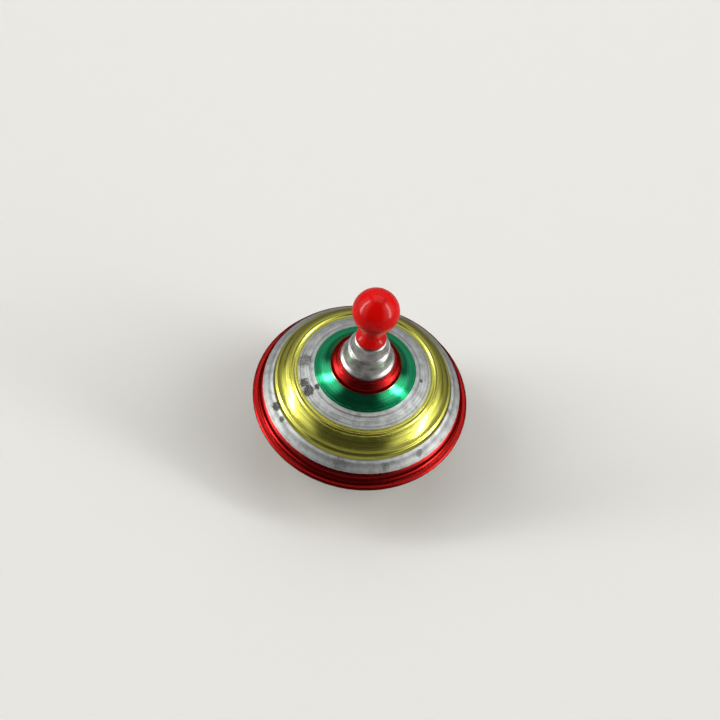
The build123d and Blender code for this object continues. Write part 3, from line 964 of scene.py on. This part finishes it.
@dataclass
class Shells:
    """The two tinplate shells, drawn outwards from the collar and the hub."""

    finishes: Finishes
    sheet: float = 0.35 * MM
    curl_mm: float = 1.25
    collar_radius_mm: float = 14.9
    rim_height_mm: float = RIM_HEIGHT_MM
    hub_radius_mm: float = 10.0
    hole_width: float = 5.2 * MM
    hole_length: float = 14.1 * MM
    hole_radius: float = 32.0 * MM
    hole_count: int = 4

    def dome_outline(self) -> list[Corner]:
        """Draw the visible side of the dome.

        Returns:
            Its corners, from the curl's free edge to the hole under the collar.
        """
        rim = self.rim_radius_mm()
        curl = self.curl_mm
        edge = [
            Corner(rim - 1.7 * curl, -curl),
            Corner(rim, -curl, curl * ALMOST_ALL),
            Corner(rim, curl, curl * ALMOST_ALL),
        ]
        drawn = [
            Corner(42.2, 1.25, 0.4),
            Corner(42.4, 3.0, 0.9),
            Corner(41.35, 4.1, 0.4),
            Corner(41.75, 6.3, 3.2),
            Corner(40.9, 8.2, 2.4),
            Corner(39.65, 8.9, 0.4),
            Corner(35.8, 13.0, 2.0),
            Corner(34.5, 13.9, 1.1),
            Corner(33.8, 16.9, 0.8),
            Corner(32.5, 17.4, 0.35),
            Corner(31.2, 20.1, 9.0),
            Corner(27.6, 23.8, 6.0),
            Corner(25.4, 24.2, 0.35),
            Corner(24.7, 25.2, 0.6),
            Corner(23.4, 24.4, 0.5),
            Corner(21.3, 25.0, 3.0),
            Corner(18.0, 26.4, 0.5),
            Corner(17.5, 26.75, 0.5),
            Corner(16.9, 26.85, 0.4),
            Corner(15.7, 27.35, 0.4),
            Corner(15.1, 27.8, 0.5),
            Corner(14.4, 27.95, 0.4),
            Corner(13.2, 28.5, 2.0),
            Corner(8.3, 29.9, 9.0),
            Corner(4.3, 33.3, 0.4),
            Corner(4.0, 36.4, 2.2),
            Corner(1.9, 37.8, 0.4),
            Corner(1.3, 38.7, 0.4),
            Corner(0.6, 38.7, 0.3),
            Corner(0.5, 39.3, 0.3),
            Corner(-4.7, 39.3),
        ]
        moved = [Corner(self.collar_radius_mm + c.out, c.up, c.bend) for c in drawn]
        return edge + moved

    def rim_radius_mm(self) -> float:
        """Read the radius over the rolled seam from the frame, in millimetres."""
        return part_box("upper_shell")[1].x / MM

    def bowl_outline(self) -> list[Corner]:
        """Draw the visible side of the bowl.

        Returns:
            Its corners, from the tip's hole out to the edge inside the seam.
        """
        roll = self.curl_mm - 2 * self.sheet / MM
        centre = self.rim_radius_mm() - self.curl_mm
        drawn = [
            Corner(-8.4, -29.0),
            Corner(0.0, -29.0, 1.2),
            Corner(2.6, -24.4, 1.4),
            Corner(12.5, -21.0, 1.5),
            Corner(31.3, -21.0, 2.4),
            Corner(36.0, -15.6, 1.8),
            Corner(38.4, -14.4, 1.4),
            Corner(43.2, -7.6, 2.0),
            Corner(45.2, -6.4, 1.0),
            Corner(47.0, -2.4, 0.8),
            Corner(47.0, roll, 0.4),
        ]
        edge = [
            Corner(centre + roll, roll, roll * ALMOST_ALL),
            Corner(centre + roll, -roll, roll * ALMOST_ALL),
            Corner(centre - roll, -roll),
        ]
        return [Corner(self.hub_radius_mm + c.out, c.up, c.bend) for c in drawn] + edge

    def build(self) -> None:
        """Make both shells."""
        base = Vector((0, 0, self.rim_height_mm * MM))
        dome = sheet_turned(self.dome_outline(), base, self.sheet, steps=160)
        piece = place(dome, "banded_dome", self.finishes.dome)
        stand_for(piece, "upper_shell", Body.SPINNING)
        bowl = sheet_turned(self.bowl_outline(), base, self.sheet, steps=128)
        piece = place(bowl, "sounding_bowl", self.finishes.bowl)
        self.cut_sound_holes(piece)
        stand_for(piece, "lower_shell", Body.SPINNING)

    def cut_sound_holes(self, bowl: bpy.types.Object) -> None:
        """Cut the round-ended windows under the reeds.

        Args:
            bowl: The bowl's object.
        """
        cutter = bmesh.new()
        for index in range(self.hole_count):
            self.add_hole_cutter(cutter, math.tau * index / self.hole_count)
        tool = place(cutter, "hole_cutter", self.finishes.bowl)
        cut = bowl.modifiers.new("holes", "BOOLEAN")
        cut.operation = "DIFFERENCE"
        cut.object = tool
        cut.solver = "EXACT"
        bpy.context.view_layer.update()
        seen = bowl.evaluated_get(bpy.context.evaluated_depsgraph_get())
        data = bpy.data.meshes.new_from_object(seen)
        bowl.modifiers.clear()
        bowl.data = data
        bpy.data.objects.remove(tool)

    def add_hole_cutter(self, cutter: bmesh.types.BMesh, angle: float) -> None:
        """Add one slot-shaped block.

        Args:
            cutter: The mesh of the cutters.
            angle: The slot's place round the axis.
        """
        made = bmesh.ops.create_cube(cutter, size=1.0)["verts"]
        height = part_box("reed_plate")[0].z
        size = Vector((self.hole_length, self.hole_width, 6 * self.sheet))
        bmesh.ops.scale(cutter, vec=size, verts=made)
        upright = [
            edge
            for edge in cutter.edges
            if edge.verts[0] in made and abs(edge.verts[0].co.z - edge.verts[1].co.z) > self.sheet
        ]
        ends = bevel(cutter, upright, ALMOST_HALF * self.hole_width, segments=8)
        verts = set(ends) | {vert for vert in made if vert.is_valid}
        bmesh.ops.translate(cutter, vec=(self.hole_radius, 0, height), verts=list(verts))
        turn = Matrix.Rotation(angle, 3, "Z")
        bmesh.ops.rotate(cutter, cent=(0, 0, 0), matrix=turn, verts=list(verts))


@dataclass
class Collar:
    """The two pressed tiers that hold the clutch."""

    finishes: Finishes
    sheet: float = 0.4 * MM
    foot_radius_mm: float = 14.9
    waist_radius_mm: float = 11.6
    cone_foot_mm: float = 11.5
    cone_top_mm: float = 8.7
    hole_mm: float = 4.0
    steps: int = 128

    def build(self) -> None:
        """Make the tiers."""
        seat = Vector((0, 0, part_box("clutch_cup")[0].z))
        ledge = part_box("collar_cone")[0].z
        tier = (ledge - seat.z) / MM
        lower = [
            Corner(self.foot_radius_mm, 0.0),
            Corner(self.foot_radius_mm, 1.9, 0.9),
            Corner(self.foot_radius_mm - 1.6, 2.8, 0.6),
            Corner(self.waist_radius_mm + 0.5, 0.55 * tier, 6.0),
            Corner(self.waist_radius_mm, tier, 0.7),
            Corner(self.hole_mm, tier),
        ]
        mesh = sheet_turned(lower, seat, self.sheet, self.steps)
        piece = place(mesh, "collar_lower_tier", self.finishes.collar)
        stand_for(piece, "collar_base", Body.SPINNING)
        cone = (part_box("collar_cone")[1].z - ledge) / MM
        upper = [
            Corner(self.cone_foot_mm, 0.0),
            Corner(self.cone_foot_mm + 0.1, 1.3, 0.6),
            Corner(self.cone_foot_mm - 1.1, 1.5, 0.5),
            Corner(self.cone_top_mm, cone, 0.9),
            Corner(self.hole_mm, cone),
        ]
        mesh = sheet_turned(upper, Vector((0, 0, ledge)), self.sheet, self.steps)
        piece = place(mesh, "collar_upper_tier", self.finishes.collar)
        stand_for(piece, "collar_cone", Body.SPINNING)


@dataclass
class PumpRod:
    """The twisted strip and the turned knob on it."""

    finishes: Finishes
    width: float = 6.0 * MM
    thickness: float = 1.2 * MM
    lead: float = 40.0 * MM
    tongue_width: float = 3.0 * MM
    skirt_mm: float = 8.4
    neck_mm: float = 5.8
    ball_mm: float = 12.6
    ball_from_deg: float = -42.0
    ball_steps: int = 20
    bush_clearance: float = 0.05 * MM
    nut_half: float = 0.6 * MM
    edge_round: float = 0.18 * MM
    cuts: int = 168

    def build(self) -> None:
        """Make the strip and the knob."""
        self.build_strip()
        self.build_knob()

    def build_strip(self) -> None:
        """Twist a long flat block about the spin axis."""
        low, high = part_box("spiral_rod")
        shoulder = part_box("guide_bush")[1].z + self.bush_clearance
        nut_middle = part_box("drive_nut")[1].z - self.nut_half
        strip = bmesh.new()
        bmesh.ops.create_cube(strip, size=1.0)
        length = high.z - shoulder
        bmesh.ops.scale(strip, vec=(self.width, self.thickness, length), verts=strip.verts)
        bmesh.ops.translate(strip, vec=(0, 0, shoulder + length / 2), verts=strip.verts)
        edges = [e for e in strip.edges if abs(e.verts[0].co.z - e.verts[1].co.z) > length / 2]
        bevel(strip, edges, self.edge_round, segments=2)
        for cut in range(1, self.cuts):
            bmesh.ops.bisect_plane(
                strip,
                geom=strip.verts[:] + strip.edges[:] + strip.faces[:],
                plane_co=(0, 0, shoulder + length * cut / self.cuts),
                plane_no=(0, 0, 1),
            )
        for vertex in strip.verts:
            turn = math.tau * (vertex.co.z - nut_middle) / self.lead
            vertex.co.rotate(Matrix.Rotation(turn, 3, "Z"))
        tongue = bmesh.ops.create_cube(strip, size=1.0)["verts"]
        size = Vector((self.tongue_width, self.thickness, shoulder - low.z))
        bmesh.ops.scale(strip, vec=size, verts=tongue)
        bmesh.ops.translate(strip, vec=(0, 0, (shoulder + low.z) / 2), verts=tongue)
        angle = math.tau * (shoulder - nut_middle) / self.lead
        turn = Matrix.Rotation(angle, 3, "Z")
        bmesh.ops.rotate(strip, cent=(0, 0, 0), matrix=turn, verts=tongue)
        piece = place(strip, "twisted_strip", self.finishes.steel, smooth_deg=30)
        stand_for(piece, "spiral_rod", Body.PUMP_ROD)

    def build_knob(self) -> None:
        """Turn the knob from one outline."""
        low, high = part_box("knob")
        base = Vector((0, 0, low.z))
        ball = (high.z - low.z) / MM - self.ball_mm
        start = math.radians(self.ball_from_deg)
        turn = (math.pi / 2 - start) / self.ball_steps
        angles = [start + index * turn for index in range(self.ball_steps)]
        arc = [
            Corner(self.ball_mm * math.cos(angle), ball + self.ball_mm * math.sin(angle))
            for angle in angles
        ]
        outline = [
            Corner(0, 0),
            Corner(self.skirt_mm, 0, 0.8),
            Corner(self.skirt_mm - 0.3, 0.12 * ball, 1.6),
            Corner(self.neck_mm, 0.24 * ball, 3.0),
            Corner(self.neck_mm, 0.46 * ball, 4.0),
        ]
        outline += arc
        outline.append(Corner(0, ball + self.ball_mm))
        knob = turned(outline, base, steps=96)
        piece = place(knob, "turned_knob", self.finishes.knob, smooth_deg=60)
        stand_for(piece, "knob", Body.PUMP_ROD)


@dataclass
class Works:
    """The pieces that keep their frame meshes and only take their finishes."""

    finishes: Finishes

    def build(self, nodes: dict[str, bpy.types.Object]) -> None:
        """Dress the nodes.

        Args:
            nodes: The frame's node objects by name.
        """
        f = self.finishes
        wear = {
            "clutch_cup": f.clutch,
            "clutch_ring": f.fibre,
            "centre_tube": f.clutch,
            "hub_plate": f.clutch,
            "tip_cone": f.collar,
            "tip_pin": f.tip,
            "reed_plate": f.brass,
            "reeds": f.brass,
            "reed_rivets": f.rivet,
            "plate_rivets": f.rivet,
            "friction_washer": f.leather,
            "drive_nut": f.clutch,
            "guide_bush": f.brass,
            "stop_washer": f.clutch,
        }
        for name, material in wear.items():
            node = nodes[name]
            if not node.material_slots:
                node.data.materials.append(material)
            for slot in node.material_slots:
                slot.material = material
            LOG.info("%s: dressed", name)


# --------------------------------------------------------------------------------- the studio


@dataclass
class Softbox:
    """A studio light that faces the top."""

    name: str
    toward: tuple[float, float, float]
    distance: float
    width: float
    height: float
    watts: float

    def build(self, aim: Vector) -> None:
        """Hang the light.

        Args:
            aim: The point that it faces.
        """
        data = bpy.data.lights.new(self.name, "AREA")
        data.shape = "RECTANGLE"
        data.size = self.width
        data.size_y = self.height
        data.energy = self.watts
        light = bpy.data.objects.new(self.name, data)
        away = Vector(self.toward).normalized()
        light.location = aim + away * self.distance
        light.rotation_euler = away.to_track_quat("Z", "Y").to_euler()
        bpy.context.scene.collection.objects.link(light)


@dataclass
class Studio:
    """Plain pale floor, soft light and the camera.

    A pair of numbers is where one part of the room's light starts and where it is whole, as the
    cosine of an angle or a height on the unit sphere.
    """

    elevation_deg: float = 57.57
    roll_deg: float = 10.70
    distance: float = 1.1173
    lens_mm: float = 100.0
    rim_height: float = RIM_HEIGHT_MM * MM
    aim_above_deg: float = 1.04
    room_lean_deg: float = 28.0
    box_turn_deg: float = 15.0
    soft_box: Colour = (1.5, 1.5, 1.48)
    box_core: Colour = (13.0, 13.0, 12.8)
    front_room: Colour = (0.07, 0.07, 0.07)
    back_room: Colour = (0.11, 0.11, 0.115)
    ceiling: Colour = (0.48, 0.48, 0.49)
    backdrop: Colour = (0.66, 0.65, 0.62)
    floor: Colour = (0.66, 0.65, 0.62)
    # Painted shade: the darker floor colour that is seen in reflections and bounce light.
    shaded_floor_in_gloss: Colour = (0.26, 0.25, 0.245)
    floor_half: float = 3.0
    box_sides: tuple[float, float] = (0.74, 0.975)
    core_sides: tuple[float, float] = (0.99, 0.999)
    box_top: tuple[float, float] = (0.70, 0.92)
    box_foot: tuple[float, float] = (-0.9, 0.45)
    ceiling_edge: tuple[float, float] = (0.35, 0.8)
    front_edge: tuple[float, float] = (-0.45, 0.25)

    def build(self) -> None:
        """Set the floor, the lights and the camera."""
        bpy.context.scene.view_settings.view_transform = "Standard"
        self.build_floor()
        self.build_world()
        aim = Vector((0, 0, self.rim_height))
        Softbox("overhead_box", (0.0, 0.45, 0.89), 1.6, 1.2, 1.0, 5.0).build(aim)
        self.build_camera(aim)

    def build_floor(self) -> None:
        """Lay the floor that the tip stands on."""
        mesh = bmesh.new()
        bmesh.ops.create_grid(mesh, x_segments=1, y_segments=1, size=self.floor_half)
        finish = Finish("pale_floor")
        s = finish.shader
        seen = s.node("ShaderNodeLightPath").outputs["Is Camera Ray"]
        # Painted shade: off camera rays the floor takes a darker colour, as the shaded table near
        # the top.
        finish.set(Base_Color=s.mix(seen, self.shaded_floor_in_gloss, self.floor), Roughness=0.75)
        floor = place(mesh, "floor", finish.material)

    def build_world(self) -> None:
        """Light the room: pale where it is seen, two tall soft lights in a dim room in gloss."""
        world = bpy.data.worlds.new("room")
        world.use_nodes = True
        s = Shader(world.node_tree)
        toward = s.node("ShaderNodeTexCoord").outputs["Generated"]
        lean = math.radians(self.room_lean_deg)
        side, _, _ = s.split(toward)
        height = s.along(toward, (0.0, math.sin(lean), math.cos(lean)))
        front = s.along(toward, (0.0, -math.cos(lean), math.sin(lean)))
        flat = s.math("SQRT", s.math("SUBTRACT", 1.0, s.math("MULTIPLY", height, height)))
        turn = math.radians(self.box_turn_deg)
        sideways = s.math("MULTIPLY", s.math("ABSOLUTE", side), math.cos(turn))
        near = s.math("MULTIPLY_ADD", front, math.sin(turn), sideways)
        facing = s.math("DIVIDE", near, flat)
        across = s.ramp(facing, *self.box_sides)
        below_top = s.ramp(height, *self.box_top, 1.0, 0.0)
        above_foot = s.ramp(height, *self.box_foot)
        box = s.math("MULTIPLY", across, s.math("MULTIPLY", below_top, above_foot))
        back = s.mix(s.ramp(height, *self.ceiling_edge), self.back_room, self.ceiling)
        dim = s.mix(s.ramp(front, *self.front_edge), back, self.front_room)
        core = s.math("MULTIPLY", box, s.ramp(facing, *self.core_sides))
        room = s.mix(core, s.mix(box, dim, self.soft_box), self.box_core)
        seen = s.node("ShaderNodeLightPath").outputs["Is Camera Ray"]
        background = world.node_tree.nodes["Background"]
        s.feed(background.inputs["Color"], s.mix(seen, room, self.backdrop))
        bpy.context.scene.world = world

    def build_camera(self, aim: Vector) -> None:
        """Stand the camera where the top is seen from above, a little tilted.

        Args:
            aim: The middle of the rolled seam.
        """
        rise = math.radians(self.elevation_deg)
        back = Vector((0, -math.cos(rise), math.sin(rise)))
        right = Vector((1, 0, 0))
        up = back.cross(right)
        roll = math.radians(self.roll_deg)
        tilted_right = right * math.cos(roll) + up * math.sin(roll)
        tilted_up = up * math.cos(roll) - right * math.sin(roll)
        lift = math.radians(self.aim_above_deg)
        view_back = back * math.cos(lift) - tilted_up * math.sin(lift)
        view_up = tilted_up * math.cos(lift) + back * math.sin(lift)
        data = bpy.data.cameras.new("camera")
        data.lens = self.lens_mm
        data.sensor_width = 36.0
        data.clip_start = 0.05
        camera = bpy.data.objects.new("camera", data)
        axes = Matrix((tilted_right, view_up, view_back)).transposed()
        camera.matrix_world = Matrix.Translation(aim + back * self.distance) @ axes.to_4x4()
        bpy.context.scene.collection.objects.link(camera)
        bpy.context.scene.camera = camera


def main() -> None:
    """Dress the frame as the finished top."""
    logging.basicConfig(level=logging.INFO, format="%(message)s")
    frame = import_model()
    finishes = Finishes(GroupKit())
    Shells(finishes).build()
    Collar(finishes).build()
    PumpRod(finishes).build()
    Works(finishes).build(frame["nodes"])
    Studio().build()


if __name__ == "__main__":
    main()
